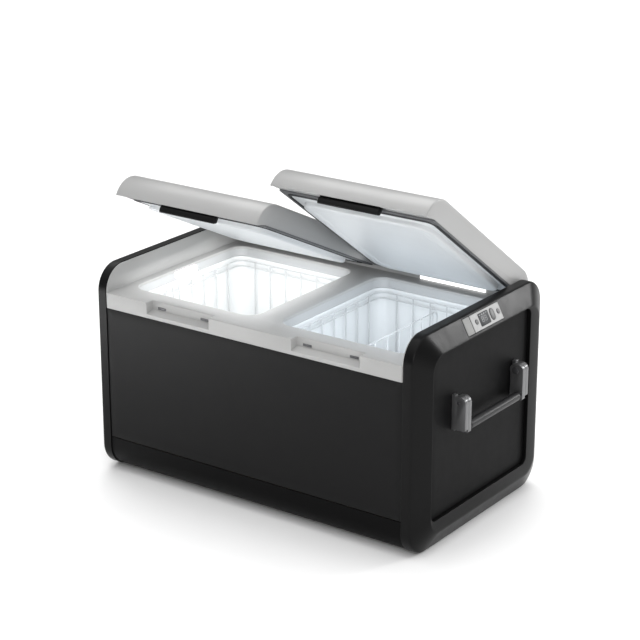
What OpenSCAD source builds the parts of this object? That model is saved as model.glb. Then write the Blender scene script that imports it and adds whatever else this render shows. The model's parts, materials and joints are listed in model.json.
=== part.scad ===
// Two-lid compressor cooler: X runs along the long side, the front faces -Y, +Z is up.
// The origin is on the floor under the middle of the case. The lids stand open.

/* [Case] */
// Depth of the case, front to back
case_d = 530; // [526:1:534]
// Height of the closed cooler
case_h = 500; // [498:1:504]
// Height of the end frames' lower edge over the floor
foot_h = 2; // [1.5:0.5:3]
// Radius of the four long edges
edge_r = 60; // [58:1:61]
// Half the width of the front panel
panel_hx = 404.5; // [404:0.5:405]
// Half the length over the square rims of the end frames
strip_hx = 428; // [427:1:429]
// Half the length of the case without its handles
end_hx = 452; // [451:1:453]
// Width of the sloped border round each end
border_w = 44.6; // [43:0.2:46]
// How far the sheet skins and the tray stand back from the end frames
skin_in = 2; // [1.5:0.5:2]
// Wall thickness of the plastic mouldings
wall = 4; // [3.5:0.5:4.5]
// Height of the seam over the base tray
seam_z = 86; // [84:1:88]
// Height of the seam under the top rim
rim_z = 404.5; // [403:0.5:406]
// Height of the deck that the lids close on
deck_z = 441; // [440:0.5:442]

/* [Compartments] */
// Half the width of the bridge between the openings
bridge_hx = 33; // [32:0.5:34]
// Distance of the openings' outer edges from the middle
open_x = 380; // [378:1:381]
// Half the depth of the openings
open_hy = 200; // [198:1:202]
// Corner radius of the openings
open_r = 36; // [32:1:44]
// Floor height of the left compartment
left_floor_z = 75; // [70:1:90]
// Floor height of the right compartment, over the machine bay
right_floor_z = 195; // [193:1:200]
// Height of the baskets' top wires
basket_top_z = 410; // [400:1:412]

/* [Lids] */
// How far the left lid stands open, in degrees
left_open = 25.5; // [0:0.5:60]
// How far the right lid stands open, in degrees
right_open = 35.7; // [0:0.1:60]
// Distance of the hinge line behind the middle
hinge_y = 247; // [246:0.5:248]
// Height of the hinge line
hinge_z = 464; // [463:0.5:465]
// Wall thickness of the lid shells
lid_wall = 3; // [2.5:0.5:3.5]
// How far both latches sit to the right of the middle of their lid
latch_shift = 6; // [0:1:8]

/* [Handles] */
// Distance of the handle pivots from the middle
pivot_x = 459.5; // [459:0.5:460]
// Height of the handle pivots
pivot_z = 328; // [320:1:332]
// Half the distance between the handle arms
arm_hy = 108; // [104:1:112]
// Radius of the grip bar
bar_r = 10.2; // [9:0.1:10.5]

/* [Controls] */
// Side clearance of the buttons
button_gap = 0.4; // [0.3:0.1:0.6]
// Radius of the round buttons
button_r = 5.6; // [4.5:0.1:6]

/* [Hidden] */
$fn = 48;
half_d = case_d / 2;
gap = 0.3;
sheet_t = 1;
rear_y = half_d - skin_in;
slope_a = atan2(border_w, end_hx - strip_hx);
lid_x0 = 2;
lid_x1 = 401.5;
lid_z = deck_z + 0.5;
lip_y = -half_d + 38;
frame_z = deck_z + 7;
frame_y1 = 234;
liner_z = deck_z - 10;
tub_in = 6;
tub_wall = 3;
tub_top_z = 417.5;
lid_mx = 201.5;
latch_hx = 77.5;
recess_hx = 89;
recess_z = 413.5;
latch_y = -250;
latch_z = deck_z + 5.5;
hinge_x = [75, 325];
knuckle_r = 6.5;
pin_r = 2.5;
bay_x = [14, 403];
bay_z = 152;
panel_y = [-219, 182];
panel_z = [78, 454];
panel_x = end_hx - 8.5;
grille_x = [262, 378];
grille_z = [96, 148];
ac_pos = [208, 120];
dc_pos = [160, 120];
fan_c = [320, 208, 80];
fan_r = 49;
basket_w = 4;
divider_z = 396;
plate_y = [-50.5, 65.2];
usb_y = [-78.7, -52.8];
panel_s = [6.3, 44.3];
rocker_pin_z = -3.2;
cover_r = 1.6;
cove_r = 15.5;

// ---- shared shapes -------------------------------------------------------
module rounded(x0, y0, x1, y1, r) {
    translate([x0 + r, y0]) square([x1 - x0 - 2 * r, y1 - y0]);
    translate([x0, y0 + r]) square([x1 - x0, y1 - y0 - 2 * r]);
    for (x = [x0 + r, x1 - r], y = [y0 + r, y1 - r]) translate([x, y]) circle(r);
}
module along_x(x0, x1) {
    translate([x0, 0, 0]) rotate([90, 0, 90]) linear_extrude(x1 - x0) children();
}
module along_y(y0, y1) {
    translate([0, y1, 0]) rotate([90, 0, 0]) linear_extrude(y1 - y0) children();
}
module along_z(z0, z1) {
    translate([0, 0, z0]) linear_extrude(z1 - z0) children();
}
module block(a, b) { translate(a) cube(b - a); }
module other_side() { mirror([1, 0, 0]) children(); }
// The case's end-on outline, drawn in from its outer face by inset
module outline(inset) {
    rounded(-half_d + inset, foot_h + inset, half_d - inset, case_h - inset, edge_r - inset);
}
// A frame whose X runs down the right end's top slope and whose Z stands off it
module on_slope() { translate([strip_hx, 0, case_h]) rotate([0, slope_a, 0]) children(); }
module lid_turn(open) {
    translate([0, hinge_y, hinge_z]) rotate([-open, 0, 0]) translate([0, -hinge_y, -hinge_z])
        children();
}
module on_left_lid() { lid_turn(left_open) other_side() children(); }
module on_right_lid() { lid_turn(right_open) children(); }

// ---- case ----------------------------------------------------------------
module base_tray() color("#1b1b1c") difference() {
    along_x(-panel_hx, panel_hx) outline(skin_in);
    along_x(-panel_hx - 1, panel_hx + 1) outline(skin_in + wall);
    block([-500, -400, seam_z - gap], [500, 400, case_h + 1]);
}
module front_panel() color("#202021")
    block([-panel_hx, -rear_y, seam_z + gap], [panel_hx, -rear_y + sheet_t, rim_z - gap]);
module rear_panel() color("#202021") difference() {
    block([-panel_hx, rear_y - sheet_t, seam_z + gap], [panel_hx, rear_y, rim_z - gap]);
    block([grille_x[0], 0, grille_z[0]], [grille_x[1], 400, grille_z[1]]);
    for (c = [ac_pos, dc_pos])
        block([c[0] - 18, 0, c[1] - 15], [c[0] + 18, 400, c[1] + 15]);
}
module end_solid(inset) {
    w = border_w;
    hull() {
        along_x(panel_hx + gap - inset, strip_hx) outline(inset, $fn = 32);
        along_x(end_hx - 1 - inset, end_hx - inset) rounded(-half_d + w, foot_h + w,
            half_d - w, case_h - w, 40, $fn = 32);
    }
}
// The window of an end frame, kept inside the border's own corners
module window(grow) {
    w = border_w + 1.4 - grow;
    intersection() {
        rounded(panel_y[0] - grow, panel_z[0] - grow, panel_y[1] + grow, panel_z[1] + grow,
            18 + grow);
        rounded(-half_d + w, foot_h + w, half_d - w, case_h - w, 38.6 + grow);
    }
}
module end_frame() difference() {
    union() {
        difference() { end_solid(0); end_solid(wall); }
        along_x(panel_x - 5, end_hx - wall) window(wall);
    }
    along_x(panel_x - 6, end_hx + 1) window(0);
}
module left_end_frame() color("#232324") other_side() end_frame();
module right_end_frame() color("#232324") difference() {
    end_frame();
    on_slope() block([4, -80.8, -20], [46.6, 67.8, 5]);
}
module end_panel() color("#1f1f20") along_x(panel_x - 3.5, panel_x) window(-0.6);
module left_end_panel() other_side() end_panel();
module right_end_panel() end_panel();
module feet() color("#141414")
    for (x = [-360, 360], y = [-185, 185]) translate([x, y, 0])
        cylinder(r = 15, h = foot_h + skin_in);
module rear_screws() color("#8a8a8c")
    for (x = [-390, -130, 130, 390], z = [102, 392]) if (x != 390 || z > 200)
        translate([x, rear_y, z]) rotate([-90, 0, 0]) cylinder(r = 4, h = 1.5);

// ---- rim, compartments and insulation --------------------------------------
module opening(grow) {
    rounded(bridge_hx - grow, -open_hy - grow, open_x + grow, open_hy + grow, open_r + grow);
}
// The latch recess of one half, shifted along X from the middle of its lid
module recess(shift, grow, y1) {
    mx = lid_mx + shift;
    translate([0, 0, -grow]) along_x(mx - recess_hx - grow, mx + recess_hx + grow)
        polygon([[-half_d - 1, recess_z], [y1, recess_z + 6], [y1, deck_z + 5],
            [-half_d - 1, deck_z + 5]]);
}
module rim_half(shift) {
    difference() {
        union() {
            block([-1, -half_d, rim_z + gap], [402.3, half_d, deck_z]);
            block([-1, 238, deck_z - 1], [402.3, 243.5, 450]);
            intersection() {
                block([-1, 243, deck_z - 1], [402.3, half_d, 452]);
                along_x(-1, 402.3) outline(0);
            }
            intersection() {
                along_x(402, panel_hx) outline(2);
                block([400, -400, rim_z + gap], [500, 400, case_h]);
            }
        }
        along_z(rim_z - 1, deck_z + 1) opening(0);
        recess(shift, 0, -243);
        hinge_round(-2, 402.2, cove_r);
        difference() {
            block([-2, -half_d + wall, rim_z - 1], [402.3 - wall, half_d - wall, deck_z - wall]);
            along_z(rim_z - 2, deck_z) opening(3);
            recess(shift, 3, -239);
        }
    }
}
module top_rim() color("#c9c9c8") {
    rim_half(latch_shift);
    other_side() rim_half(-latch_shift);
}
module catch_plates() color("#77787a")
    for (mx = [latch_shift - lid_mx, latch_shift + lid_mx], x = [-61, 61])
        block([mx + x - 11, -244.5, 422.5], [mx + x + 11, -243, 428]);
module tub_outline(inset) {
    i = tub_in + inset;
    rounded(bridge_hx + i, -open_hy + i, open_x - i, open_hy - i, open_r - i);
}
module tub(floor_z) color("#eef1f2") difference() {
    union() {
        along_z(floor_z - tub_wall, tub_top_z) tub_outline(-tub_wall);
        along_z(tub_top_z - 4, tub_top_z) opening(-0.4);
    }
    along_z(floor_z, case_h) tub_outline(0);
}
module left_tub() other_side() tub(left_floor_z);
module right_tub() tub(right_floor_z);
module evaporator(z0, z1) color("#b8bcc0") along_z(z0, z1) difference() {
    tub_outline(-tub_wall - 1.8);
    tub_outline(-tub_wall - 0.2);
}
module evaporators() {
    other_side() evaporator(left_floor_z + 40, 385);
    evaporator(right_floor_z + 30, 385);
}
module insulation() color("#d8cfa6") difference() {
    union() {
        intersection() {
            along_x(-panel_hx + 1, panel_hx - 1) outline(skin_in + wall + 0.5);
            block([-500, -400, 0], [500, 400, rim_z - gap]);
        }
        for (s = [0, 1]) mirror([s, 0, 0])
            block([panel_hx - 2, panel_y[0] + 8, panel_z[0] + 8],
                [panel_x - 4, panel_y[1] - 8, rim_z - gap]);
    }
    along_z(right_floor_z - tub_wall - gap, case_h) tub_outline(-tub_wall - 2.1);
    other_side()
        along_z(left_floor_z - tub_wall - gap, case_h) tub_outline(-tub_wall - 2.1);
    block([bay_x[0], -256, 0], [bay_x[1], 300, bay_z]);
    block([panel_hx - 10, -400, 0], [500, 400, bay_z]);
}
module left_led_lens() color("#ffffff") other_side()
    block([open_x - 4.4, -50, 420], [open_x - 0.3, 33, 435.5]);
module right_led_lens() color("#ffffff")
    block([124, 235.2, deck_z + 0.8], [301, 238, 449]);

// ---- cooling machine --------------------------------------------------------
module tube(points, r) {
    for (i = [0 : len(points) - 2]) {
        run = points[i + 1] - points[i];
        translate(points[i])
            rotate([0, acos(run[2] / norm(run)), atan2(run[1], run[0])])
                cylinder(r = r, h = norm(run), $fn = 16);
    }
    for (i = [1 : len(points) - 2]) translate(points[i]) sphere(r, $fn = 16);
}
module compressor() color("#17181a") translate([95, -30, 0]) {
    translate([0, 0, 16]) rotate_extrude() intersection() {
        difference() {
            rounded(-56, 0, 56, 122, 28);
            rounded(-44, 12, 44, 110, 16);
        }
        square([60, 130]);
    }
    block([-75, -55, 13], [75, 55, 16]);
    for (x = [-62, 62], y = [-42, 42]) translate([x, y, 8]) cylinder(r = 8, h = 5);
}
module condenser() color("#5c5f63") {
    for (i = [0 : 13]) translate([254 + 10 * i, 150, 22]) cube([1.5, 38, 112]);
    for (y = [160, 178], z = [32 : 23 : 124])
        translate([248, y, z]) rotate([0, 90, 0]) cylinder(r = 4, h = 144, $fn = 24);
    block([248, 150, 8], [252, 188, 134]);
    block([388, 150, 8], [392, 188, 134]);
}
module fan_shroud() color("#111112") translate(fan_c) {
    difference() {
        block([-64, -14, -69], [64, 14, 60]);
        rotate([90, 0, 0]) cylinder(r = fan_r + 3, h = 40, center = true);
        block([-60, -15, -66], [-52, 15, -57]);
        block([52, -15, -66], [60, 15, -57]);
    }
    for (a = [45, 135]) rotate([0, a, 0]) block([-54, 9.5, -2], [54, 13, 2]);
    rotate([-90, 0, 0]) translate([0, 0, 9.5]) cylinder(r = 18, h = 4.5);
}
module fan_rotor() color("#2a2b2d") translate(fan_c) {
    rotate([90, 0, 0]) translate([0, 0, -9]) cylinder(r = 19, h = 17);
    for (k = [0 : 6]) rotate([0, k * 360 / 7, 0]) translate([fan_r / 2 + 7, 0, 0])
        rotate([35, 0, 0]) cube([fan_r - 16, 1.6, 19], center = true);
}
module power_module() color("#3a3c40") {
    block([182, -160, 8], [240, -50, 60]);
    for (i = [0 : 6]) block([184 + 8.5 * i, -158, 59], [187 + 8.5 * i, -52, 76]);
}
module refrigerant_tubes() color("#b5703a") {
    tube([[151.3, -30, 60], [170, -30, 60], [170, 60, 60], [170, 172, 60], [170, 172, 101],
        [247.7, 172, 101]], 3);
    tube([[95, -86.3, 90], [95, -110, 90], [28, -110, 90], [28, 120, 90], [28, 120, 146]], 4);
    tube([[95, 26.3, 40], [95, 90, 40], [95, 90, 120], [200, 90, 120], [200, 90, 146]], 2.5);
}
module vent_grille() color("#161617") difference() {
    union() {
        block([grille_x[0] - 6, rear_y, grille_z[0] - 6],
            [grille_x[1] + 6, half_d, grille_z[1] + 6]);
        block([grille_x[0] + 0.4, rear_y - 8, grille_z[0] + 0.4],
            [grille_x[1] - 0.4, half_d - 1, grille_z[1] - 0.4]);
    }
    for (i = [0 : 12]) block([grille_x[0] + 5 + 8.4 * i, 0, grille_z[0] + 4],
        [grille_x[0] + 8.6 + 8.4 * i, 400, grille_z[1] - 4]);
}
// A panel socket with a mouth of 2*w by 2*h and pins that stop short of it
module inlet(at, w, h, pins) translate([at[0], rear_y, at[1]]) {
    difference() {
        union() {
            block([-17.6, -22, -14.6], [17.6, 1, 14.6]);
            block([-21, 0, -18], [21, 1.5, 18]);
        }
        block([-w, -14, -h], [w, 5, h]);
    }
    for (p = pins) translate([p[0], 0, p[1]]) block([-1, -15, -2], [1, -5.4, 2]);
}
module ac_inlet() color("#121213") inlet(ac_pos, 12.2, 8.2, [[-7, 2], [0, -2], [7, 2]]);
module dc_inlet() color("#121213") inlet(dc_pos, 10, 6, [[-4, 0], [4, 0]]);

// ---- control panel ----------------------------------------------------------
module button_hole(y) { translate([25, y, -5]) cylinder(r = button_r + button_gap, h = 10); }
module control_bezel() color("#101011") on_slope() difference() {
    block([4.4, -80.4, -14], [46.2, 67.4, 0.4]);
    block([6, plate_y[0] - 0.3, -12], [44.6, plate_y[1] + 0.3, 5]);
    block([6, usb_y[0] - 0.3, -2.5], [44.6, usb_y[1] + 0.3, 5]);
    block([16.8, -73, -20], [34.2, -58.6, 5]);
}
module control_plate() color("#d4d5d4") on_slope() difference() {
    block([panel_s[0], plate_y[0], -1.5], [panel_s[1], plate_y[1], 1]);
    button_hole(-33);
    button_hole(55);
    along_z(-5, 5) rounded(10.5, -22.3, 39.5, 18.3, 3);
    along_z(-5, 5) rounded(11.5, 22.5, 38.5, 39.5, 8.4);
}
module display_window() color("#0b0d10") on_slope()
    along_z(-2, 0.7) rounded(10.7, -22.1, 39.3, 18.1, 2.8);
module control_board() color("#1d4a2c") on_slope()
    block([8, -49, -10], [42.5, 63, -8]);
module usb_socket() color("#a8abae") on_slope() {
    difference() {
        block([17, -72.6, -13], [34, -59, -2.6]);
        block([19, -70, -11], [32, -61.6, 0]);
    }
    block([19.5, -67, -12], [31.5, -64.4, -4]);
}
module round_button(y) color("#b4b6b6") on_slope()
    translate([25, y, -6]) cylinder(r = button_r, h = 8);
module power_button() round_button(-33);
module set_button() round_button(55);
// The rocker tilts on a pin that runs along its short side
module rocker_button() color("#b4b6b6") on_slope() {
    along_z(-4.5, 2) rounded(12.1, 23.1, 37.9, 38.9, 7.8);
    translate([25, 21.6, rocker_pin_z]) rotate([-90, 0, 0]) cylinder(r = 1.2, h = 18.8);
}
// The cover flips on its rounded edge
module usb_cover() color("#9c9a96") on_slope() {
    block([panel_s[0], usb_y[0] + cover_r, 1 - 2 * cover_r], [panel_s[1], usb_y[1], 1]);
    translate([panel_s[0], usb_y[0] + cover_r, 1 - cover_r]) rotate([0, 90, 0])
        cylinder(r = cover_r, h = panel_s[1] - panel_s[0]);
}

// ---- handles ----------------------------------------------------------------
module arm_outline(low) {
    circle(15);
    square([4, 15]);
    translate([4, 0]) circle(15);
    rounded(-13.5, -low, 19, 6, 5);
}
module arm_pair(low, y0, y1) {
    for (s = [0, 1]) mirror([0, s, 0]) difference() {
        translate([pivot_x, 0, pivot_z]) along_y(y0, y1) arm_outline(low);
        translate([pivot_x, y0 - 1, pivot_z]) rotate([-90, 0, 0]) cylinder(r = 4.05, h = 30);
    }
}
module handle_arms() color("#3c3e42") arm_pair(68, arm_hy, arm_hy + 11.8);
module left_handle_arms() other_side() handle_arms();
module right_handle_arms() handle_arms();
module bracket_pair() {
    difference() {
        union() {
            arm_pair(62, arm_hy + 12.2, arm_hy + 24);
            for (y = [-arm_hy - 24, arm_hy + 12.2])
                block([panel_x, y, pivot_z - 64], [pivot_x - 8, y + 11.8, pivot_z + 17]);
        }
        translate([pivot_x, -200, pivot_z]) rotate([-90, 0, 0]) cylinder(r = 4.05, h = 400);
    }
}
module handle_brackets() color("#2c2d30") { bracket_pair(); other_side() bracket_pair(); }
module handle_bar() color("#2a2b2d") translate([pivot_x + 8.5, -arm_hy, pivot_z - 57])
    rotate([-90, 0, 0]) cylinder(r = bar_r, h = 2 * arm_hy);
module left_handle_bar() other_side() handle_bar();
module right_handle_bar() handle_bar();
module pivot_screws() color("#8d8f92")
    for (sx = [0, 1], sy = [0, 1]) mirror([sx, 0, 0]) mirror([0, sy, 0])
        translate([pivot_x, arm_hy, pivot_z]) rotate([-90, 0, 0]) {
            translate([0, 0, -3.3]) cylinder(r = 8, h = 3);
            translate([0, 0, -1]) cylinder(r = 4, h = 24.6);
        }

// ---- lids: drawn closed on the right, then turned open about the hinge line --
module knuckle(x0, x1) difference() {
    hinge_round(x0, x1, knuckle_r);
    hinge_round(x0 - 1, x1 + 1, pin_r + 0.05);
}
module hinge_round(x0, x1, r) translate([x0, hinge_y, hinge_z]) rotate([0, 90, 0])
    cylinder(r = r, h = x1 - x0);
module fixed_hinges() {
    for (x = hinge_x) {
        knuckle(x - 10, x + 10);
        difference() {
            intersection() {
                block([x - 10, 244, 446], [x + 10, 250, hinge_z]);
                hinge_round(x - 10, x + 10, cove_r - 0.05);
            }
            hinge_round(x - 12, x + 12, pin_r + 0.05);
        }
    }
}
module hinge_brackets() color("#55575a") { fixed_hinges(); other_side() fixed_hinges(); }
module hinge_pins() color("#c6c8ca")
    for (s = [0, 1], x = hinge_x) mirror([s, 0, 0])
        translate([x - 28, hinge_y, hinge_z]) rotate([0, 90, 0]) cylinder(r = pin_r, h = 56);
module lid_hinge() color("#55575a")
    for (x = hinge_x, k = [-26, 10.5]) {
        knuckle(x + k, x + k + 15.5);
        difference() {
            block([x + k, 244, hinge_z], [x + k + 15.5, 250, 473]);
            hinge_round(x + k - 1, x + k + 18, pin_r + 0.05);
        }
        block([x + k, 206, 473], [x + k + 15.5, 248, 475.5]);
    }
module left_lid_hinge() on_left_lid() lid_hinge();
module right_lid_hinge() on_right_lid() lid_hinge();
module latch_space(shift, y0, y1, z1) {
    mx = lid_mx + shift;
    block([mx - latch_hx - 2, y0, 0], [mx + latch_hx + 2, y1, z1]);
}
module lid_shell(shift) color("#bfc0c0") difference() {
    along_x(lid_x0, lid_x1) outline(1);
    block([0, -400, 0], [500, 400, lid_z]);
    intersection() {
        along_x(lid_x0 + lid_wall, lid_x1 - lid_wall) outline(1 + lid_wall);
        block([0, -400, lid_z + lid_wall], [500, 400, case_h]);
    }
    block([0, lip_y, 0], [500, 400, frame_z]);
    block([0, frame_y1 + 0.5, 0], [500, 400, hinge_z - 0.5]);
    latch_space(shift, -261, lip_y + 1, frame_z + 6);
    for (x = hinge_x) block([x - 11, 243, 0], [x + 11, 400, hinge_z + 4]);
}
module left_lid_shell() on_left_lid() lid_shell(-latch_shift);
module right_lid_shell() on_right_lid() lid_shell(latch_shift);
module liner_outline(inset) {
    rounded(bridge_hx + 5 + inset, -open_hy + 5 + inset, open_x - 5 - inset,
        open_hy - 5 - inset, 40 - inset);
}
module lid_frame(shift) color("#4c4e51") difference() {
    block([lid_x0 + 0.3, lip_y + 0.3, frame_z - 4], [lid_x1 - 0.3, frame_y1, frame_z - 0.2]);
    along_z(0, 500) liner_outline(-0.3);
    translate([0, 0, frame_z - 4.5]) linear_extrude(2.5) gasket_outline(0.2);
    latch_space(shift, lip_y - 10, lip_y + 4, case_h);
}
module left_lid_frame() on_left_lid() lid_frame(-latch_shift);
module right_lid_frame() on_right_lid() lid_frame(latch_shift);
module gasket_outline(grow) difference() {
    rounded(11 - grow, lip_y + 6 - grow, 397 + grow, 222 + grow, 24);
    rounded(23 + grow, lip_y + 18 + grow, 385 - grow, 210 - grow, 16);
}
module lid_gasket() color("#3e4043")
    along_z(deck_z + 0.4, frame_z - 2.2) gasket_outline(0);
module left_lid_gasket() on_left_lid() lid_gasket();
module right_lid_gasket() on_right_lid() lid_gasket();
module lid_liner() color("#d6d9da") difference() {
    along_z(liner_z, frame_z + 2) liner_outline(0);
    along_z(liner_z + 2.5, frame_z + 3) liner_outline(2.5);
}
module left_lid_liner() on_left_lid() lid_liner();
module right_lid_liner() on_right_lid() lid_liner();
module lid_foam() color("#d8cfa6") difference() {
    block([lid_x0 + 5, lip_y + 8, frame_z + 2.3], [lid_x1 - 5, 200, 489]);
    block([0, 150, 484], [500, 300, 500]);
}
module left_lid_foam() on_left_lid() lid_foam();
module right_lid_foam() on_right_lid() lid_foam();
module latch(shift) color("#0d0d0e") translate([lid_mx + shift, 0, 0]) {
    along_x(-latch_hx, latch_hx) polygon([[-260, 426], [-257.5, 424], [-252, 426],
        [-247, 428], [-245.5, 446], [-254.5, 446], [-260, 436.5]]);
    translate([-latch_hx, latch_y, latch_z]) rotate([0, 90, 0])
        cylinder(r = 4.5, h = 2 * latch_hx);
}
module left_latch() on_left_lid() latch(-latch_shift);
module right_latch() on_right_lid() latch(latch_shift);

// ---- wire baskets -------------------------------------------------------------
module basket_outline(inset) {
    i = tub_in + 5 + inset;
    rounded(bridge_hx + i, -open_hy + i, open_x - i, open_hy - i, open_r - i);
}
module basket(floor_z) color("#f4f6f6") {
    low = floor_z + 6;
    rows = [low, low + 60, basket_top_z - basket_w - 14, basket_top_z - basket_w];
    x0 = bridge_hx + tub_in + 5 + basket_w / 2;
    x1 = open_x - tub_in - 5 - basket_w / 2;
    hy = open_hy - tub_in - 5 - basket_w / 2;
    for (z = rows) along_z(z, z + basket_w) difference() {
        basket_outline(0);
        basket_outline(basket_w);
    }
    post_x = [for (i = [0 : 5]) x0 + 46 + i * (x1 - x0 - 92) / 5];
    post_y = [for (i = [0 : 6]) -hy + 46 + i * (2 * hy - 92) / 6];
    post_h = basket_top_z - low - 1;
    for (x = post_x, y = [-hy, hy]) translate([x, y, low]) cylinder(r = 1.7, h = post_h, $fn = 8);
    for (x = [x0, x1], y = post_y) translate([x, y, low]) cylinder(r = 1.7, h = post_h, $fn = 8);
    for (x = post_x) block([x - 1.7, -hy, low], [x + 1.7, hy, low + 3.4]);
    for (y = post_y) block([x0, y - 1.7, low + 0.4], [x1, y + 1.7, low + 3.8]);
    for (x = [post_x[0], post_x[5]], y = [post_y[0], post_y[6]])
        translate([x, y, floor_z + gap]) cylinder(r = 4, h = 8);
}
module left_basket() other_side() basket(left_floor_z);
module right_basket() basket(right_floor_z);
module basket_divider() color("#f4f6f6") {
    x = (bridge_hx + open_x) / 2;
    low = right_floor_z + 10.3;
    for (z = [low, 300, divider_z - 3]) block([x - 1.5, -184, z], [x + 1.5, 184, z + 3]);
    for (i = [0 : 7]) translate([x, -164.5 + 47 * i, low + 1])
        cylinder(r = 1.5, h = divider_z - low - 2, $fn = 8);
}

base_tray();
front_panel();
rear_panel();
left_end_frame();
right_end_frame();
left_end_panel();
right_end_panel();
top_rim();
catch_plates();
left_tub();
right_tub();
insulation();
feet();
left_led_lens();
right_led_lens();
evaporators();
compressor();
condenser();
fan_shroud();
fan_rotor();
power_module();
refrigerant_tubes();
dc_inlet();
ac_inlet();
vent_grille();
rear_screws();
control_bezel();
control_plate();
display_window();
control_board();
usb_socket();
power_button();
set_button();
rocker_button();
usb_cover();
handle_brackets();
left_handle_arms();
right_handle_arms();
left_handle_bar();
right_handle_bar();
pivot_screws();
hinge_brackets();
hinge_pins();
left_lid_shell();
right_lid_shell();
left_lid_frame();
right_lid_frame();
left_lid_gasket();
right_lid_gasket();
left_lid_liner();
right_lid_liner();
left_lid_foam();
right_lid_foam();
left_lid_hinge();
right_lid_hinge();
left_latch();
right_latch();
left_basket();
right_basket();
basket_divider();
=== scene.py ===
import json
import math

import bmesh
import bpy
from mathutils import Matrix, Vector


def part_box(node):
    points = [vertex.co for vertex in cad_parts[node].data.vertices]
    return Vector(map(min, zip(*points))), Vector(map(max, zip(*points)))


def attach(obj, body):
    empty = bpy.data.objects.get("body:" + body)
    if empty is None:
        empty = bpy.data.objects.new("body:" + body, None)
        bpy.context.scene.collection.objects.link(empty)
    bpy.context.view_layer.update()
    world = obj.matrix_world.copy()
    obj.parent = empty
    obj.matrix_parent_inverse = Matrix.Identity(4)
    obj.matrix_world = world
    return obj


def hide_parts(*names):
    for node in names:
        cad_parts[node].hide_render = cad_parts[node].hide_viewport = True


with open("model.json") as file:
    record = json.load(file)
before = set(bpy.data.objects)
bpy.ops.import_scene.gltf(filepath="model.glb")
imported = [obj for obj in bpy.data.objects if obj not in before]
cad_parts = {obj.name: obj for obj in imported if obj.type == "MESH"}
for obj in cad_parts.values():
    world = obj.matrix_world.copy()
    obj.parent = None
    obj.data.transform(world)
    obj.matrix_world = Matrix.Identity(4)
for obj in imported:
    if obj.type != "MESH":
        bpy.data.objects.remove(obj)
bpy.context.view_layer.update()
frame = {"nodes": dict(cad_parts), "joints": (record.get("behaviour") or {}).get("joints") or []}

MM = 0.001

# ---- places and sizes, in metres ---------------------------------------------------
frame_low, frame_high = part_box("right_end_frame")
panel_low, panel_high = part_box("right_end_panel")
tray_low, tray_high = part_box("base_tray")
HALF_D = frame_high.y                   # half the case's depth
TOP_Z = frame_high.z
BASE_Z = frame_low.z
SEAM_X = frame_low.x                    # where an end frame meets the panels
END_X = frame_high.x
STRIP_X = END_X - 24 * MM               # where an end frame's border begins to slope in
BORDER = 44.6 * MM                      # width of that sloped border
EDGE_R = 60 * MM                        # corner radius of the case, seen from its end
DECK_Z = 441 * MM                       # the deck that the lids close on
OPENING = (33 * MM, -200 * MM, 380 * MM, 200 * MM, 36 * MM)     # in the deck, right side
JOINTS = {j["name"]: j for j in frame["joints"]}
HINGE = Vector(JOINTS["right_lid_hinge"]["pos_m"])
SLOPE_A = math.atan2(BORDER, END_X - STRIP_X)
SLOPE = Matrix.Translation((STRIP_X, 0, TOP_Z)) @ Matrix.Rotation(SLOPE_A, 4, "Y")
PANEL_CUT = ((4 * MM, -80.8 * MM, -20 * MM), (46.6 * MM, 67.8 * MM, 5 * MM))    # on the slope
SHARP = math.radians(28)                # edges bent by more than this are rounded

# the closed right lid
LID_X = (2 * MM, 401.5 * MM)
LIP_Y = -HALF_D + 38 * MM               # back of the front lip
SKIRT_Y = 234.5 * MM                    # front of the rear skirt
FRAME_Z = DECK_Z + 7 * MM               # underside of the shell, where the carrier sits
LINER = (38 * MM, -195 * MM, 375 * MM, 195 * MM, 40 * MM)
LINER_FLANGE = (22.5 * MM, LIP_Y + 17.5 * MM, 385.5 * MM, 210.5 * MM, 14 * MM)

# ---- camera --------------------------------------------------------------------------
cam_data = bpy.data.cameras.new("camera")
cam_data.sensor_width = 36
cam_data.lens = 114.96
camera = bpy.data.objects.new("camera", cam_data)
camera.location = (2.5477, -3.5727, 1.9530)
camera.rotation_euler = (math.radians(70.30), math.radians(-0.04), math.radians(35.44))
bpy.context.scene.collection.objects.link(camera)
bpy.context.scene.camera = camera


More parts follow.
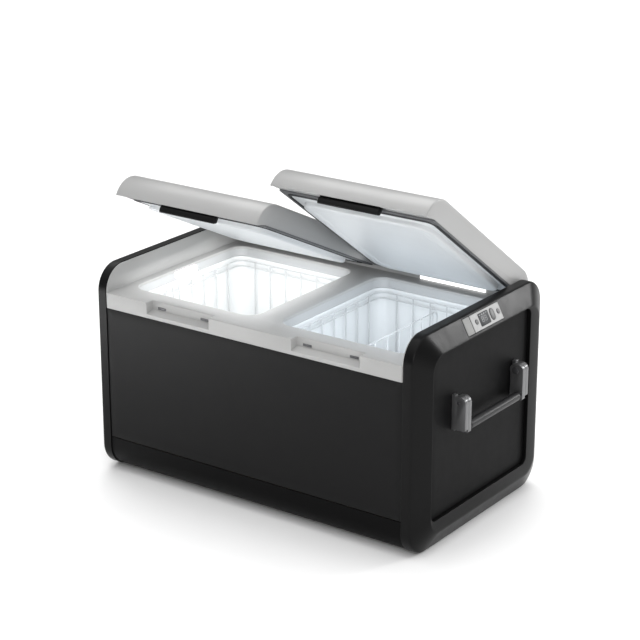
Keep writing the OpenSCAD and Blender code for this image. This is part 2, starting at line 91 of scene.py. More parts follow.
# ---- materials -----------------------------------------------------------------------
def surface(name, colour, rough, metallic=0.0, grain=900.0, bump=0.15, vary=0.05,
            rough_vary=0.05, specular=0.5, stretch=(1, 1, 1), glow=None):
    """A moulded or painted surface: fine grain, faint mottling and uneven gloss."""
    mat = bpy.data.materials.new(name)
    mat.use_nodes = True
    tree = mat.node_tree
    shader = tree.nodes["Principled BSDF"]
    shader.inputs["Metallic"].default_value = metallic
    shader.inputs["Specular IOR Level"].default_value = specular
    place = tree.nodes.new("ShaderNodeTexCoord")
    mapping = tree.nodes.new("ShaderNodeMapping")
    mapping.inputs["Scale"].default_value = stretch
    tree.links.new(place.outputs["Object"], mapping.inputs["Vector"])

    def noise(scale, detail):
        node = tree.nodes.new("ShaderNodeTexNoise")
        node.inputs["Scale"].default_value = scale
        node.inputs["Detail"].default_value = detail
        tree.links.new(mapping.outputs["Vector"], node.inputs["Vector"])
        return node.outputs["Fac"]

    ramp = tree.nodes.new("ShaderNodeValToRGB")
    low = [c * (1 - vary) for c in colour]
    high = [min(1.0, c * (1 + vary)) for c in colour]
    ramp.color_ramp.elements[0].position = 0.3
    ramp.color_ramp.elements[1].position = 0.7
    ramp.color_ramp.elements[0].color = (*low, 1)
    ramp.color_ramp.elements[1].color = (*high, 1)
    tree.links.new(noise(9.0, 4.0), ramp.inputs["Fac"])
    tree.links.new(ramp.outputs["Color"], shader.inputs["Base Color"])
    gloss = tree.nodes.new("ShaderNodeMapRange")
    gloss.inputs["To Min"].default_value = rough - rough_vary
    gloss.inputs["To Max"].default_value = rough + rough_vary
    tree.links.new(noise(45.0, 3.0), gloss.inputs["Value"])
    tree.links.new(gloss.outputs["Result"], shader.inputs["Roughness"])
    relief = tree.nodes.new("ShaderNodeBump")
    relief.inputs["Strength"].default_value = bump
    relief.inputs["Distance"].default_value = 0.0002
    tree.links.new(noise(grain, 2.0), relief.inputs["Height"])
    tree.links.new(relief.outputs["Normal"], shader.inputs["Normal"])
    if glow:
        tree.links.new(ramp.outputs["Color"], shader.inputs["Emission Color"])
        shader.inputs["Emission Strength"].default_value = glow
    return mat


FINISHES = {
    "black_steel": dict(colour=(0.0050, 0.0050, 0.0052), rough=0.40, bump=0.10, grain=1400,
                        specular=0.12),
    "black_moulding": dict(colour=(0.0040, 0.0040, 0.0041), rough=0.31, bump=0.2, grain=1500,
                           specular=0.11),
    "tray_black": dict(colour=(0.0032, 0.0032, 0.0033), rough=0.45, bump=0.2, grain=1500,
                       specular=0.06),
    "end_panel_black": dict(colour=(0.0052, 0.0052, 0.0054), rough=0.5, bump=0.3, grain=1300,
                            specular=0.06),
    "rim_grey": dict(colour=(0.36, 0.36, 0.356), rough=0.42, bump=0.12, vary=0.02),
    # the sleeve is the rim's own grey, painted lighter and bluer: painted light from the
    # compartment lamps
    "sleeve_grey_painted_light": dict(colour=(0.40, 0.41, 0.415), rough=0.4, bump=0.1, vary=0.02),
    "lid_silver": dict(colour=(0.345, 0.345, 0.343), rough=0.38, metallic=0.1, bump=0.10,
                       vary=0.015),
    "liner_white": dict(colour=(0.60, 0.62, 0.635), rough=0.32, bump=0.06, vary=0.012),
    "tub_white": dict(colour=(0.72, 0.735, 0.74), rough=0.35, bump=0.05, vary=0.01),
    "trim_dark": dict(colour=(0.11, 0.113, 0.118), rough=0.45, bump=0.15, specular=0.3),
    "gasket_rubber": dict(colour=(0.03, 0.031, 0.033), rough=0.65, bump=0.4, specular=0.3),
    "latch_black": dict(colour=(0.004, 0.004, 0.0042), rough=0.35, bump=0.15, specular=0.15),
    "led_glow": dict(colour=(1.0, 1.0, 1.0), rough=0.4, vary=0.0, glow=1.6),
    "foam": dict(colour=(0.62, 0.55, 0.36), rough=0.9, bump=0.9, grain=300, vary=0.1),
    "aluminium_sheet": dict(colour=(0.7, 0.71, 0.72), rough=0.32, metallic=1.0,
                            stretch=(1, 12, 12), bump=0.2),
    "machine_black": dict(colour=(0.012, 0.012, 0.013), rough=0.3, bump=0.3, grain=500),
    "copper": dict(colour=(0.72, 0.34, 0.2), rough=0.3, metallic=1.0, bump=0.1, vary=0.12),
    "fins": dict(colour=(0.25, 0.26, 0.28), rough=0.38, metallic=0.9, stretch=(8, 1, 1)),
    "steel": dict(colour=(0.5, 0.5, 0.51), rough=0.3, metallic=1.0, stretch=(1, 1, 9)),
    "dark_steel": dict(colour=(0.10, 0.10, 0.105), rough=0.35, metallic=0.8),
    "plate_silver": dict(colour=(0.43, 0.432, 0.43), rough=0.45, bump=0.1, stretch=(1, 6, 1),
                         specular=0.2),
    "button_silver": dict(colour=(0.07, 0.071, 0.071), rough=0.35, specular=0.3),
    "display_black": dict(colour=(0.045, 0.047, 0.05), rough=0.35, bump=0.02, specular=0.2),
    "segment_glow": dict(colour=(0.30, 0.31, 0.32), rough=0.6, vary=0.02, specular=0.1),
    "board_green": dict(colour=(0.02, 0.14, 0.06), rough=0.4, bump=0.4, grain=600),
    "cover_rubber": dict(colour=(0.29, 0.29, 0.285), rough=0.5, bump=0.2, specular=0.2),
    "handle_metal": dict(colour=(0.17, 0.171, 0.174), rough=0.36, metallic=0.8, bump=0.15,
                         grain=1800, specular=0.4),
    "grip_black": dict(colour=(0.014, 0.014, 0.015), rough=0.42, metallic=0.15, bump=0.15,
                       specular=0.4),
    "wire_white": dict(colour=(0.52, 0.53, 0.535), rough=0.35, bump=0.1, vary=0.02),
    "foot_rubber": dict(colour=(0.008, 0.008, 0.008), rough=0.7, bump=0.5, grain=500,
                        specular=0.2),
}
MATS = {name: surface(name, **finish) for name, finish in FINISHES.items()}


# ---- mesh helpers ----------------------------------------------------------------------
def rounded_rect(a0, b0, a1, b1, r, second=None, n=14):
    """Points round a rectangle with corner arcs, always the same number of them. The corner
    where the first axis is low and the second high may have a radius of its own."""
    points = []
    s = r if second is None else second
    for ca, cb, start, r in ((a1 - r, b1 - r, 0, r), (a0 + s, b1 - s, 90, s),
                             (a0 + r, b0 + r, 180, r), (a1 - r, b0 + r, 270, r)):
        for i in range(n + 1):
            t = math.radians(start + 90 * i / n)
            points.append((ca + r * math.cos(t), cb + r * math.sin(t)))
    return points


def soften(points, radii, n=5):
    """A polyline of tuples with its inner corners rounded by short curves."""
    out = [points[0]]
    for i in range(1, len(points) - 1):
        here, r = Vector(points[i]), radii[i]
        before, after = Vector(points[i - 1]) - here, Vector(points[i + 1]) - here
        if r <= 0:
            out.append(tuple(here))
            continue
        p = here + before * min(0.49, r / before.length)
        q = here + after * min(0.49, r / after.length)
        for k in range(n + 1):
            t = k / n
            out.append(tuple(p * (1 - t) ** 2 + here * 2 * t * (1 - t) + q * t * t))
    out.append(points[-1])
    return out


def to_object(name, bm, mat, body, replaces=(), sharp=32, matrix=None):
    """Finishes a mesh: welded, outward normals, smooth except at sharp edges."""
    bmesh.ops.remove_doubles(bm, verts=bm.verts, dist=1e-6)
    if matrix is not None:
        bmesh.ops.transform(bm, matrix=matrix, verts=bm.verts)
    bmesh.ops.recalc_face_normals(bm, faces=bm.faces)
    limit = math.radians(sharp)
    for face in bm.faces:
        face.smooth = True
    for edge in bm.edges:
        edge.smooth = edge.is_manifold and edge.calc_face_angle(0) < limit
    mesh = bpy.data.meshes.new(name)
    bm.to_mesh(mesh)
    bm.free()
    obj = bpy.data.objects.new(name, mesh)
    obj.data.materials.append(MATS[mat])
    bpy.context.scene.collection.objects.link(obj)
    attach(obj, body)
    if replaces:
        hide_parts(*replaces)
    return obj


def loft_mesh(loops, ring=False, bm=None):
    """Quads between loops of equal length, capped at both ends, or last joined to first."""
    bm = bm or bmesh.new()
    rows = [[bm.verts.new(p) for p in loop] for loop in loops]
    count = len(rows[0])
    pairs = list(zip(rows, rows[1:]))
    if ring:
        pairs.append((rows[-1], rows[0]))
    for low, high in pairs:
        for i in range(count):
            j = (i + 1) % count
            bm.faces.new((low[i], low[j], high[j], high[i]))
    if not ring:
        bm.faces.new(rows[0])
        bm.faces.new(rows[-1])
    return bm


def mirror(side):
    """Carries a piece drawn on the right over to its own side."""
    return Matrix.Scale(-1 if side == "left" else 1, 4, Vector((1, 0, 0)))


def cad_mesh(node):
    """A copy of a CAD node's mesh with its coplanar faces merged."""
    bm = bmesh.new()
    bm.from_mesh(frame["nodes"][node].data)
    bmesh.ops.remove_doubles(bm, verts=bm.verts, dist=2e-6)
    bmesh.ops.dissolve_limit(bm, angle_limit=math.radians(0.5), verts=bm.verts,
                             edges=bm.edges)
    return bm


def round_edges(bm, width, segments, chosen=lambda point: True):
    """Rounds those sharp edges of a mesh whose end points the test picks out."""
    edges = [e for e in bm.edges if e.is_manifold and e.calc_face_angle(0) > SHARP
             and all(chosen(v.co) for v in e.verts)]
    bmesh.ops.bevel(bm, geom=edges, offset=width, segments=segments, profile=0.5,
                    affect="EDGES", clamp_overlap=True)


def refine(node, body, mat, bevel=0.6 * MM, segments=2):
    """A cleaned copy of a CAD node with its edges rounded."""
    bm = cad_mesh(node)
    if bevel:
        round_edges(bm, bevel, segments)
    return to_object(node + "_fine", bm, mat, body, (node,), sharp=40)


def tube_splines(name, paths, radius, mat, body, replaces=()):
    """Round wires in one mesh, along paths that each say whether they close on themselves."""
    curve = bpy.data.curves.new(name, "CURVE")
    curve.dimensions = "3D"
    curve.bevel_depth = radius
    curve.bevel_resolution = 2
    curve.use_fill_caps = True
    for path, loop in paths:
        spline = curve.splines.new("POLY")
        spline.points.add(len(path) - 1)
        for point, place in zip(spline.points, path):
            point.co = (*place, 1)
        spline.use_cyclic_u = loop
    holder = bpy.data.objects.new(name + "_curve", curve)
    bpy.context.scene.collection.objects.link(holder)
    bpy.context.view_layer.update()
    bm = bmesh.new()
    mesh = bpy.data.meshes.new_from_object(holder)
    bm.from_mesh(mesh)
    bpy.data.objects.remove(holder)
    return to_object(name, bm, mat, body, replaces, sharp=60)


def outline_rect(inset):
    """The case's end outline, drawn in by an inset, as bounds and corner radii."""
    return (-HALF_D + inset, BASE_Z + inset, HALF_D - inset, TOP_Z - inset,
            EDGE_R - inset, EDGE_R - inset)


def yz_loop(x, rect, n=20):
    """A rounded rectangle standing across X."""
    return [(x, y, z) for y, z in rounded_rect(*rect, n=n)]


# ---- case ------------------------------------------------------------------------------
def end_frame(side):
    """The end moulding: a hollow ring with a strip, a sloped border and a window."""
    grow = 3.5 * MM                     # wall thickness of the strip
    gap = 0.6 * MM                      # round the panel in the window
    window = (panel_low.y - gap, panel_low.z - gap, panel_high.y + gap, panel_high.z + gap,
              18 * MM, 38 * MM)
    border = (-HALF_D + BORDER, BASE_Z + BORDER, HALF_D - BORDER, TOP_Z - BORDER,
              40 * MM, 40 * MM)
    controls = [
        (SEAM_X, *outline_rect(grow)),
        (SEAM_X, *outline_rect(0)),
        (STRIP_X, *outline_rect(0)),
        (END_X, *border),
        (END_X, *window),
        (panel_high.x - 2 * MM, *window),
        (STRIP_X - 6 * MM, *outline_rect(grow + 2 * MM)),
    ]
    radii = [0, 1.2 * MM, 6 * MM, 8 * MM, 1.5 * MM, 0, 0]
    rows = soften(controls + [controls[-1]], radii + [0], n=6)[:-1]
    bm = loft_mesh([yz_loop(r[0], r[1:]) for r in rows], ring=True)
    return to_object(side + "_frame_moulding", bm, "black_moulding", "case",
                     (side + "_end_frame",), sharp=35, matrix=mirror(side))


def cut_box(obj, matrix, low, high):
    """Takes a box, given in a turned frame, out of a piece."""
    bm = bmesh.new()
    bmesh.ops.create_cube(bm, size=1.0)
    size = Vector(high) - Vector(low)
    middle = (Vector(high) + Vector(low)) / 2
    bmesh.ops.transform(bm, verts=bm.verts,
                        matrix=matrix @ Matrix.Translation(middle) @ Matrix.Diagonal((*size, 1)))
    mesh = bpy.data.meshes.new("cutter")
    bm.to_mesh(mesh)
    bm.free()
    cutter = bpy.data.objects.new("cutter", mesh)
    bpy.context.scene.collection.objects.link(cutter)
    modifier = obj.modifiers.new("cut", "BOOLEAN")
    modifier.operation = "DIFFERENCE"
    modifier.solver = "EXACT"
    modifier.object = cutter
    bpy.context.view_layer.update()
    shaped = bpy.data.meshes.new_from_object(obj.evaluated_get(
        bpy.context.evaluated_depsgraph_get()))
    obj.modifiers.clear()
    obj.data = shaped
    bpy.data.objects.remove(cutter)


def end_panel(side):
    """The panel set back in an end frame's window, with a soft edge."""
    low, high = panel_low, panel_high
    controls = [
        (low.x, low.y, low.z, high.y, high.z, 17 * MM, 37 * MM),
        (high.x, low.y, low.z, high.y, high.z, 17 * MM, 37 * MM),
        (high.x, low.y + 30 * MM, low.z + 30 * MM, high.y - 30 * MM, high.z - 30 * MM,
         8 * MM, 8 * MM),
    ]
    rows = soften(controls, [0, 2.2 * MM, 0])
    bm = loft_mesh([yz_loop(r[0], r[1:]) for r in rows])
    return to_object(side + "_inset_panel", bm, "end_panel_black", "case",
                     (side + "_end_panel",), matrix=mirror(side))


def front_skin():
    """The front's sheet-steel skin, whose edges turn in slightly at its seams."""
    low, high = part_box("front_panel")
    rows = [(low.y + 4.2 * MM, 0.6 * MM), (low.y + 0.6 * MM, 0.6 * MM),
            (low.y + 0.2 * MM, 0.8 * MM), (low.y, 1.4 * MM), (low.y, 20 * MM)]
    loops = []
    for y, inset in rows:
        points = rounded_rect(low.x + inset, low.z + inset, high.x - inset, high.z - inset,
                              0.3 * MM, n=4)
        loops.append([(x, y, z) for x, z in points])
    return to_object("front_skin", loft_mesh(loops), "black_steel", "case", ("front_panel",))


def base_tray():
    """The rounded trough under the case, open at the top."""
    half = tray_high.y
    bend = EDGE_R - (HALF_D - half)

    def profile(inset):
        thick = 4 * MM
        seam = tray_high.z - 0.6 * MM - inset
        outer, inner = [], []
        for r, points in ((bend - inset, outer), (bend - thick + inset, inner)):
            for i in range(17):
                t = math.radians(180 + 90 * i / 16)
                points.append((-half + bend + r * math.cos(t),
                               tray_low.z + bend + r * math.sin(t)))
            points.extend([(-y, z) for y, z in reversed(points)])
        top_out, top_in = (-half + inset, seam), (-half + thick - inset, seam)
        return ([top_out] + outer + [(-top_out[0], seam), (-top_in[0], seam)]
                + inner[::-1] + [top_in])

    stations = ((0, 0.7), (0.4, 0.2), (1, 0), (810, 0), (810.6, 0.2), (811, 0.7))
    unit = (tray_high.x - tray_low.x) / 811     # the stations span 811 units
    loops = [[(tray_low.x + at * unit, y, z) for y, z in profile(inset * MM)]
             for at, inset in stations]
    return to_object("tray_moulding", loft_mesh(loops), "tray_black", "case",
                     ("base_tray",))


def tub(side):
    """A compartment's liner: a flange, a wall with soft corners and a floor."""
    low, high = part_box(side + "_tub")
    sign = -1 if side == "left" else 1
    x0, x1 = sorted((abs(low.x), abs(high.x)))
    y0, y1 = low.y, high.y
    flange_r = 35.6 * MM
    top, wall, thick, lip = high.z, 5.6 * MM, 3 * MM, 4 * MM

    def loop(inset, z):
        points = rounded_rect(x0 + inset, y0 + inset, x1 - inset, y1 - inset,
                              flange_r - inset, n=16)
        return [(sign * x, y, z) for x, y in points]

    outside = wall - thick
    controls = [(outside + 12 * MM, low.z), (outside, low.z), (outside, top - lip),
                (0.0, top - lip), (0.0, top), (wall, top), (wall, low.z + thick),
                (wall + 40 * MM, low.z + thick)]
    radii = [0, 8 * MM, 0, 0, 1 * MM, 2.5 * MM, 16 * MM, 0]
    rows = soften([(a, b, 0) for a, b in controls], radii, n=7)
    bm = loft_mesh([loop(r[0], r[1]) for r in rows])
    return to_object(side + "_tub_moulding", bm, "tub_white", "case", (side + "_tub",))


# ---- lids ------------------------------------------------------------------------------
def lid_matrix(side):
    """Carries a piece drawn on the closed right lid to the chosen lid as it stands open."""
    joint = JOINTS[side + "_lid_hinge"]
    opened = math.radians(-joint["range_deg"][0])
    axis_point = Vector((0, HINGE.y, HINGE.z))
    turn = (Matrix.Translation(axis_point) @ Matrix.Rotation(-opened, 4, "X")
            @ Matrix.Translation(-axis_point))
    return turn @ mirror(side)


def lid_profile(inset, notch):
    """The closed lid's cross-section, front lip to rear skirt and back along its underside."""
    r = EDGE_R - 1 * MM - inset
    cy, cz = HALF_D - EDGE_R, TOP_Z - EDGE_R
    rear_z = HINGE.z - 0.5 * MM
    points = []
    start = math.pi - math.asin((DECK_Z + 0.5 * MM - cz) / r)
    for i in range(25):
        t = start + (math.pi / 2 - start) * i / 24
        points.append((-cy + r * math.cos(t), cz + r * math.sin(t)))
    for k in range(1, 8):
        points.append((-cy + 2 * cy * k / 8, cz + r))
    end = math.asin((rear_z - cz) / r)
    for i in range(21):
        t = math.pi / 2 + (end - math.pi / 2) * i / 20
        points.append((cy + r * math.cos(t), cz + r * math.sin(t)))
    points += [(SKIRT_Y, rear_z), (SKIRT_Y, FRAME_Z)]
    lip = points[0]
    if notch:
        points += [(LIP_Y, FRAME_Z + 5 * MM), (lip[0] + 4 * MM, FRAME_Z + 5 * MM),
                   (lip[0] + 2.6 * MM, lip[1] + 0.6 * MM)]
    else:
        points += [(LIP_Y, FRAME_Z), (LIP_Y - 20 * MM, FRAME_Z - 3.4 * MM),
                   (lip[0] + 2.2 * MM, lip[1])]
    return points


def latch_span(side):
    """The latch's ends along X, as drawn on the closed right lid."""
    low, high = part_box(side + "_latch")
    return sorted((abs(low.x), abs(high.x)))


def lid_shell(side):
    """The lid's outer shell, with a notch in its front lip where the latch sits."""
    x0, x1 = LID_X
    notch0, notch1 = latch_span(side)
    notch0, notch1 = notch0 - 2 * MM, notch1 + 2 * MM
    stops = [(x0, 3.0, 0), (x0 + 0.35 * MM, 1.7, 0), (x0 + 1.1 * MM, 0.7, 0),
             (x0 + 2.8 * MM, 0, 0), (notch0, 0, 0), (notch0, 0, 1),
             (notch1, 0, 1), (notch1, 0, 0), (x1 - 2.8 * MM, 0, 0),
             (x1 - 1.1 * MM, 0.7, 0), (x1 - 0.35 * MM, 1.7, 0), (x1, 3.0, 0)]
    loops = [[(x, y, z) for y, z in lid_profile(inset * MM, notch)]
             for x, inset, notch in stops]
    return to_object(side + "_lid_cover", loft_mesh(loops), "lid_silver", side + "_lid",
                     (side + "_lid_shell", side + "_lid_foam"), matrix=lid_matrix(side))


def xy_loop(rect, grow, z, n=14):
    """A level rounded rectangle, grown by a margin."""
    x0, y0, x1, y1, r = rect
    points = rounded_rect(x0 - grow, y0 - grow, x1 + grow, y1 + grow, max(r + grow, 1 * MM), n=n)
    return [(x, y, z) for x, y in points]


def lid_frame(side):
    """The dark carrier round the lid's underside, stepped at its outer edge."""
    outer = (LID_X[0] + 0.4 * MM, LIP_Y + 0.4 * MM, LID_X[1] - 0.4 * MM, 234 * MM, 3 * MM)
    rows = [(outer, 0, FRAME_Z - 0.2 * MM), (outer, 0, FRAME_Z - 3.2 * MM),
            (outer, -0.8 * MM, FRAME_Z - 4.0 * MM), (outer, -3.2 * MM, FRAME_Z - 4.0 * MM),
            (outer, -3.8 * MM, FRAME_Z - 2.6 * MM), (outer, -5.4 * MM, FRAME_Z - 2.6 * MM),
            (outer, -6.0 * MM, FRAME_Z - 4.4 * MM), (LINER, 1.2 * MM, FRAME_Z - 4.4 * MM),
            (LINER, 0.6 * MM, FRAME_Z - 3.8 * MM), (LINER, 0.6 * MM, FRAME_Z - 0.2 * MM)]
    bm = loft_mesh([xy_loop(*row) for row in rows], ring=True)
    return to_object(side + "_lid_carrier", bm, "trim_dark", side + "_lid",
                     (side + "_lid_frame",), matrix=lid_matrix(side))


def lid_gasket(side):
    """A hollow-lip seal: a soft half-round bead with a foot on each side."""
    centre = (17 * MM, LIP_Y + 12 * MM, 391 * MM, 216 * MM, 18 * MM)
    top, base = DECK_Z + 0.6 * MM, FRAME_Z - 4.2 * MM
    section = [(-4.6, 0), (-4.3, 0.35), (-3.4, 0.5), (-2.9, 1.4), (-1.8, 2.0), (0, 2.25),
               (1.8, 2.0), (2.9, 1.4), (3.4, 0.5), (4.3, 0.35), (4.6, 0)]
    depth = (base - top) / (2.25 * MM)
    loops = [xy_loop(centre, off * MM, base - rise * MM * depth) for off, rise in section]
    loops += [xy_loop(centre, 4.6 * MM, base + 1.5 * MM),
              xy_loop(centre, -4.6 * MM, base + 1.5 * MM)]
    return to_object(side + "_lid_seal", loft_mesh(loops, ring=True), "gasket_rubber",
                     side + "_lid", (side + "_lid_gasket",), matrix=lid_matrix(side))


def lid_liner(side):
    """A flange inside the seal and a pillow-edged plug with a shallow recessed field."""
    bottom, flange = DECK_Z - 10 * MM, FRAME_Z - 5.0 * MM
    controls = [(4 * MM, flange, 0), (0, flange, 0), (0, bottom, 0), (-26 * MM, bottom, 0),
                (-31 * MM, bottom + 1.6 * MM, 0), (-80 * MM, bottom + 2.0 * MM, 0)]
    rows = soften(controls, [0, 1.5 * MM, 8 * MM, 2.5 * MM, 3 * MM, 0], n=8)
    loops = [xy_loop(LINER_FLANGE, 0, flange + 0.7 * MM),
             xy_loop(LINER_FLANGE, 0, flange + 0.2 * MM),
             xy_loop(LINER_FLANGE, -0.4 * MM, flange)]
    bm = loft_mesh(loops + [xy_loop(LINER, r[0], r[1]) for r in rows])
    return to_object(side + "_lid_lining", bm, "liner_white", side + "_lid",
                     (side + "_lid_liner",), matrix=lid_matrix(side))


def latch(side):
    """A pull latch: a shallow scooped paddle under a round pivot boss."""
    controls = [(-254.5, 446), (-259.8, 437), (-260.3, 431), (-259.8, 425.6), (-257.4, 424.2),
                (-252, 425.6), (-247.6, 427.6), (-246.2, 436), (-245.6, 446)]
    radii = [0, 2.0, 6, 1.2, 1.0, 1.5, 2.0, 3, 0]
    bottom = soften([(y * MM, z * MM, 0) for y, z in controls], [r * MM for r in radii], n=5)
    boss = []
    for i in range(9):
        t = math.radians(-5 + 190 * i / 8)
        boss.append(((-250 + 4.6 * math.cos(t)) * MM, (446.3 + 4.6 * math.sin(t)) * MM, 0))
    profile = bottom + boss
    middle = Vector((-252.5 * MM, 433 * MM, 0))
    loops = []
    x0, x1 = latch_span(side)
    for x, keep in ((x0, 0.86), (x0 + 0.5 * MM, 0.94), (x0 + 1.6 * MM, 1.0),
                    (x1 - 1.6 * MM, 1.0), (x1 - 0.5 * MM, 0.94), (x1, 0.86)):
        loop = [middle + (Vector(p) - middle) * keep for p in profile]
        loops.append([(x, p.x, p.y) for p in loop])
    return to_object(side + "_latch_paddle", loft_mesh(loops), "latch_black", side + "_latch",
                     (side + "_latch",), sharp=40, matrix=lid_matrix(side))


# ---- wire baskets -----------------------------------------------------------------------
def basket(side):
    """A wire basket: three rings, hoops both ways and two stepped wires at one end."""
    low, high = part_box(side + "_basket")
    sign = -1 if side == "left" else 1
    x0, x1 = sorted((abs(low.x), abs(high.x)))
    wire = 1.7 * MM
    x0, x1, y0, y1 = x0 + 2 * MM, x1 - 2 * MM, low.y + 2 * MM, high.y - 2 * MM
    floor_z, top = low.z + 7.4 * MM, high.z - wire
    corner, bend = 23 * MM, 14 * MM

    def ring(z, inset=0.0):
        points = rounded_rect(x0 + inset, y0 + inset, x1 - inset, y1 - inset, corner - inset,
                              n=10)
        return [(sign * x, y, z) for x, y in points], True

    def hoop(along_x, at):
        """One wire down a wall, across the floor and up the far wall."""
        lo, hi = (x0, x1) if along_x else (y0, y1)
        path = [(lo, top), (lo, floor_z), (hi, floor_z), (hi, top)]
        path = soften([(a, b, 0) for a, b in path], [0, bend, bend, 0], n=6)
        if along_x:
            return [(sign * a, at, b + 1.6 * MM) for a, b, _ in path], False
        return [(sign * at, a, b) for a, b, _ in path], False

    def notched(at, lean):
        """A short wall wire with the stepped bend that leaves a hand grip."""
        x = sign * x1
        step = 16 * MM * lean
        path = [(at, top), (at, top - 26 * MM), (at - step, top - 46 * MM),
                (at - step, floor_z + 40 * MM)]
        return [(x, y, z) for y, z in path], False

    paths = [ring(top), ring(top - 14 * MM), ring(floor_z + 60 * MM)]
    for i in range(6):
        paths.append(hoop(False, x0 + 46 * MM + i * (x1 - x0 - 92 * MM) / 5))
    for i in range(7):
        y = y0 + 46 * MM + i * (y1 - y0 - 92 * MM) / 6
        paths.append(hoop(True, y))
    paths += [notched(-118 * MM, 1), notched(-70 * MM, -1)]
    return tube_splines(side + "_basket_wires", paths, wire, "wire_white",
                        side + "_basket", (side + "_basket",))


def divider():
    """The wire divider: a round-cornered ring, upright wires and one crossbar."""
    low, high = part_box("basket_divider")
    x = (low.x + high.x) / 2
    wire = 1.6 * MM
    y0, y1 = low.y + 2 * MM, high.y - 2 * MM
    z0, z1 = low.z + wire, high.z - wire
    corners = rounded_rect(y0, z0, y1, z1, 14 * MM, n=6)
    paths = [([(x, y, z) for y, z in corners], True)]
    for i in range(8):
        y = (-164.5 + 47 * i) * MM
        paths.append(([(x, y, z0), (x, y, z1)], False))
    paths.append(([(x, y0, (z0 + z1) / 2), (x, y1, (z0 + z1) / 2)], False))
    return tube_splines("divider_wires", paths, wire, "wire_white", "basket_divider",
                        ("basket_divider",))


# ---- rim -------------------------------------------------------------------------------
def top_rim():
    """The rim moulding: broad soft edges round both openings, smaller ones elsewhere."""
    bm = cad_mesh("top_rim")
    near = 0.3 * MM

    def on_deck(p):
        return abs(p.z - DECK_Z) < near

    def by_opening(p):
        return (on_deck(p) and abs(p.y) < OPENING[3] + near
                and OPENING[0] - near < abs(p.x) < OPENING[2] + near)

    def by_front(p):
        return on_deck(p) and p.y < -242 * MM and abs(p.x) < 401 * MM

    round_edges(bm, 6.5 * MM, 5, by_opening)
    round_edges(bm, 2.6 * MM, 4, by_front)
    round_edges(bm, 0.8 * MM, 2)
    return to_object("rim_moulding", bm, "rim_grey", "case", ("top_rim",), sharp=40)


def rim_sleeve(side):
    """The sleeve under an opening's soft edge, drawn in towards the tub."""
    top, bottom, into = DECK_Z - 6.2 * MM, DECK_Z - 22.9 * MM, 5.2 * MM
    rows = [(0.05 * MM, top), (-0.9 * MM, top - 1.6 * MM), (-into + 1 * MM, bottom + 3 * MM),
            (-into, bottom + 1 * MM), (-into + 0.6 * MM, bottom), (0.05 * MM, bottom)]
    loops = [xy_loop(OPENING, grow, z, n=16) for grow, z in rows]
    # its grey is painted lighter and bluer than the rim's, as painted light from the compartment
    # lamps
    return to_object(side + "_rim_sleeve", loft_mesh(loops, ring=True), "sleeve_grey_painted_light", "case",
                     matrix=mirror(side))


def wall_lamp():
    """The left compartment's lamp: a rounded lens that leans with the sleeve."""
    low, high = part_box("left_led_lens")
    loops = []
    for out, inset in ((-1.5, 0.0), (0.4, 0.0), (0.8, 0.5), (1.0, 1.6)):
        points = rounded_rect(low.y + inset * MM, low.z + inset * MM, high.y - inset * MM,
                              high.z - inset * MM, (6.5 - inset) * MM, n=8)
        loops.append([(high.x + 0.9 * MM - 0.3 * (z - low.z) + out * MM, y, z)
                      for y, z in points])
    return to_object("wall_lamp", loft_mesh(loops), "led_glow", "case", ("left_led_lens",))


# ---- control panel ----------------------------------------------------------------------
def display_segments():
    """Two seven-bar digits and a row of status bars on the display."""
    bm = bmesh.new()
    lit = {"a": (0, 2), "b": (1, 1.5), "c": (1, 0.5), "d": (0, 0), "e": (-1, 0.5),
           "f": (-1, 1.5), "g": (0, 1)}
    height, width = 5.6 * MM, 3.2 * MM

    def bar(cx, cy, sx, sy):
        corners = [(cx - sx, cy - sy), (cx + sx, cy - sy), (cx + sx, cy + sy), (cx - sx, cy + sy)]
        base = [(x, y, 0.6 * MM) for x, y in corners]
        top = [(x, y, 0.85 * MM) for x, y in corners]
        loft_mesh([base, top], bm=bm)

    for centre, bars in ((-8.5 * MM, "abcdefg"), (4.5 * MM, "abgcd")):
        for key in bars:
            across, up = lit[key]
            x, y = 31 * MM - up * height, centre + across * width
            flat = key in "adg"
            bar(x, y, 0.55 * MM if flat else 2.2 * MM, 2.5 * MM if flat else 0.55 * MM)
    for i in range(4):
        bar(14.5 * MM, (-15 + 9 * i) * MM, 1.1 * MM, 2.4 * MM)
    return to_object("display_digits", bm, "segment_glow", "case", matrix=SLOPE)


# ---- handles ----------------------------------------------------------------------------
def grip_bar(side):
    """The grip: a round bar with a slightly larger sleeve and rounded shoulders."""
    low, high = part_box(side + "_handle_bar")
    centre = (low + high) / 2
    full = (high.z - low.z) / 2
    half = (high.y - low.y) / 2
    neck = full * 0.8
    controls = [(-half, neck), (-half + 5 * MM, neck), (-half + 7 * MM, full),
                (half - 7 * MM, full), (half - 5 * MM, neck), (half, neck)]
    rows = soften([(a, b, 0) for a, b in controls], [0, 0.8 * MM, 1.5 * MM, 1.5 * MM,
                                                    0.8 * MM, 0], n=4)
    loops = []
    for y, r, _ in rows:
        loops.append([(centre.x + r * math.cos(t), y, centre.z + r * math.sin(t))
                      for t in (math.tau * k / 40 for k in range(40))])
    return to_object(side + "_grip", loft_mesh(loops), "grip_black", side + "_handle",
                     (side + "_handle_bar",))


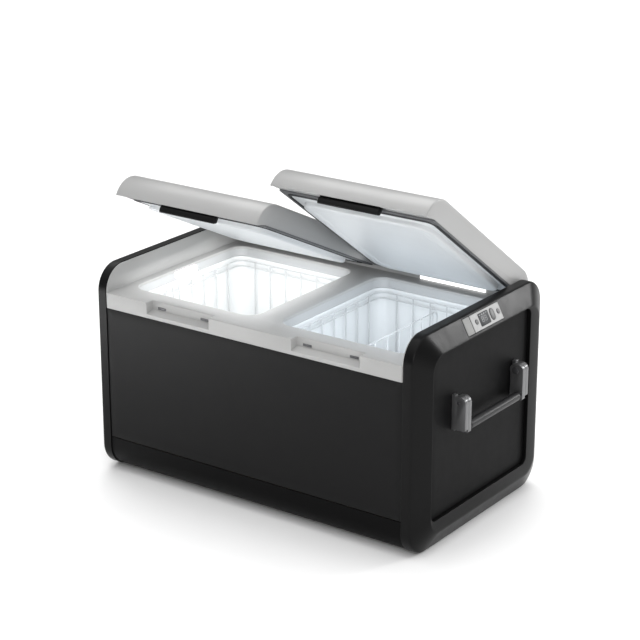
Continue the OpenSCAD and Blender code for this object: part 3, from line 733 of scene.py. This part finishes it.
# ---- floor and light ----------------------------------------------------------------------
def studio():
    """A pale floor, and a sky that grows brighter towards the top."""
    bpy.ops.mesh.primitive_plane_add(size=60, location=(0, 0, -0.0004))
    floor = bpy.context.object
    floor.name = "floor"
    floor.data.materials.append(surface("floor_white", (0.93, 0.93, 0.93), 0.7, vary=0.004,
                                        bump=0.0, specular=0.1))
    world = bpy.data.worlds.new("studio")
    world.use_nodes = True
    tree = world.node_tree
    place = tree.nodes.new("ShaderNodeTexCoord")
    split = tree.nodes.new("ShaderNodeSeparateXYZ")
    square = tree.nodes.new("ShaderNodeMath")
    square.operation = "POWER"
    square.inputs[1].default_value = 2.0
    height = tree.nodes.new("ShaderNodeMapRange")
    height.inputs["To Min"].default_value = 0.17
    height.inputs["To Max"].default_value = 2.02
    tree.links.new(place.outputs["Generated"], split.inputs["Vector"])
    tree.links.new(split.outputs["Z"], square.inputs[0])
    tree.links.new(square.outputs["Value"], height.inputs["Value"])
    tree.links.new(height.outputs["Result"], tree.nodes["Background"].inputs["Strength"])
    tree.nodes["Background"].inputs["Color"].default_value = (1, 1, 1, 1)
    bpy.context.scene.world = world


def aimed_light(kind, name, place, target, power):
    """A light at a place, turned towards its target."""
    light = bpy.data.lights.new(name, kind)
    light.energy = power
    obj = bpy.data.objects.new(name, light)
    obj.location = place
    aim = Vector(target) - Vector(place)
    obj.rotation_euler = aim.to_track_quat("-Z", "Y").to_euler()
    bpy.context.scene.collection.objects.link(obj)
    return obj


def area_light(name, place, target, size, power, colour=(1, 1, 1)):
    """A rectangular light that the camera doesn't see."""
    obj = aimed_light("AREA", name, place, target, power)
    obj.data.shape = "RECTANGLE"
    obj.data.size, obj.data.size_y = size
    obj.data.color = colour
    obj.visible_camera = False


def floor_spot():
    """A soft pool of light on the floor that the front of the case mirrors."""
    light = aimed_light("SPOT", "floor_pool", (-1.3, -1.5, 2.0), (-1.3, -1.5, 0), 1250).data
    light.spot_size = math.radians(50)
    light.spot_blend = 1.0
    light.shadow_soft_size = 0.3


def sky_key():
    """The broad key light from the rear left, above."""
    sun = aimed_light("SUN", "sky_key", (0, 0, 0), (0.5, -0.55, -1.2), 1.02).data
    sun.angle = math.radians(40)


def compartment_lamps(side, hidden_x, power, deck_power, tint):
    """Hidden lamps for the light that a compartment's own lens gives."""
    x = -0.206 if side == "left" else 0.206
    area_light(side + "_front_lamp", (x, -0.185, 0.36), (x, 0.2, 0.34),
               (0.28, 0.09), power, tint)
    area_light(side + "_side_lamp", (hidden_x, 0, 0.36), (hidden_x - 0.3, 0, 0.34),
               (0.3, 0.09), power, tint)
    area_light(side + "_deck_lamp", (x, 0, 0.475), (x, 0, 0.3),
               (0.34, 0.38), deck_power, tint)


# ---- the scene ------------------------------------------------------------------------------
bpy.context.scene.view_settings.view_transform = "Standard"
studio()
area_light("rear_right", (2.6, 3.4, 1.55), (0.4, 0, 0.4), (0.8, 0.6), 50)
area_light("front_fill", (1.5, -2.1, 1.3), (0.3, -0.2, 0.7), (1.0, 0.8), 16)
area_light("bridge_lamp", (0.014, 0.02, 0.478), (-0.1, 0.02, 0.60), (0.32, 0.02), 0.03)
floor_spot()
sky_key()
compartment_lamps("left", -0.05, 0.31, 0.85, (1, 1, 1))
compartment_lamps("right", 0.363, 0.26, 0.38, (0.86, 0.93, 1.0))

for side in ("left", "right"):
    piece = end_frame(side)
    if side == "right":
        cut_box(piece, SLOPE, *PANEL_CUT)
    end_panel(side)
    tub(side)
    lid_shell(side)
    lid_frame(side)
    lid_gasket(side)
    lid_liner(side)
    latch(side)
    basket(side)
    grip_bar(side)
    refine(side + "_handle_arms", side + "_handle", "handle_metal", 1.4 * MM, 3)
    refine(side + "_lid_hinge", side + "_lid", "trim_dark", 0.4 * MM)
    rim_sleeve(side)
top_rim()
wall_lamp()
refine("right_led_lens", "case", "led_glow", 1.2 * MM, 3)
front_skin()
base_tray()
divider()
display_segments()

CASE_DETAILS = {
    "catch_plates": ("dark_steel", 0.3),
    "rear_panel": ("black_steel", 0.2), "insulation": ("foam", 0),
    "feet": ("foot_rubber", 1.0), "evaporators": ("aluminium_sheet", 0),
    "compressor": ("machine_black", 0.5), "condenser": ("fins", 0),
    "fan_shroud": ("black_moulding", 0.5), "power_module": ("fins", 0.4),
    "refrigerant_tubes": ("copper", 0), "dc_inlet": ("black_moulding", 0.4),
    "ac_inlet": ("black_moulding", 0.4), "vent_grille": ("black_moulding", 0.4),
    "rear_screws": ("steel", 0.5), "control_bezel": ("latch_black", 0.3),
    "control_plate": ("plate_silver", 0.4), "display_window": ("display_black", 0.2),
    "control_board": ("board_green", 0.2), "usb_socket": ("steel", 0.1),
    "handle_brackets": ("handle_metal", 1.4), "pivot_screws": ("dark_steel", 0.6),
    "hinge_brackets": ("trim_dark", 0.4), "hinge_pins": ("steel", 0.3),
}
for node, (mat, bevel) in CASE_DETAILS.items():
    refine(node, "case", mat, bevel * MM, 3 if bevel > 1 else 2)
refine("fan_rotor", "fan", "black_moulding", 0.3 * MM)
for node in ("power_button", "set_button"):
    refine(node, node, "button_silver", 0.8 * MM, 3)
refine("rocker_button", "rocker_button", "button_silver", 0.9 * MM, 3)
refine("usb_cover", "usb_cover", "cover_rubber", 0.8 * MM, 3)
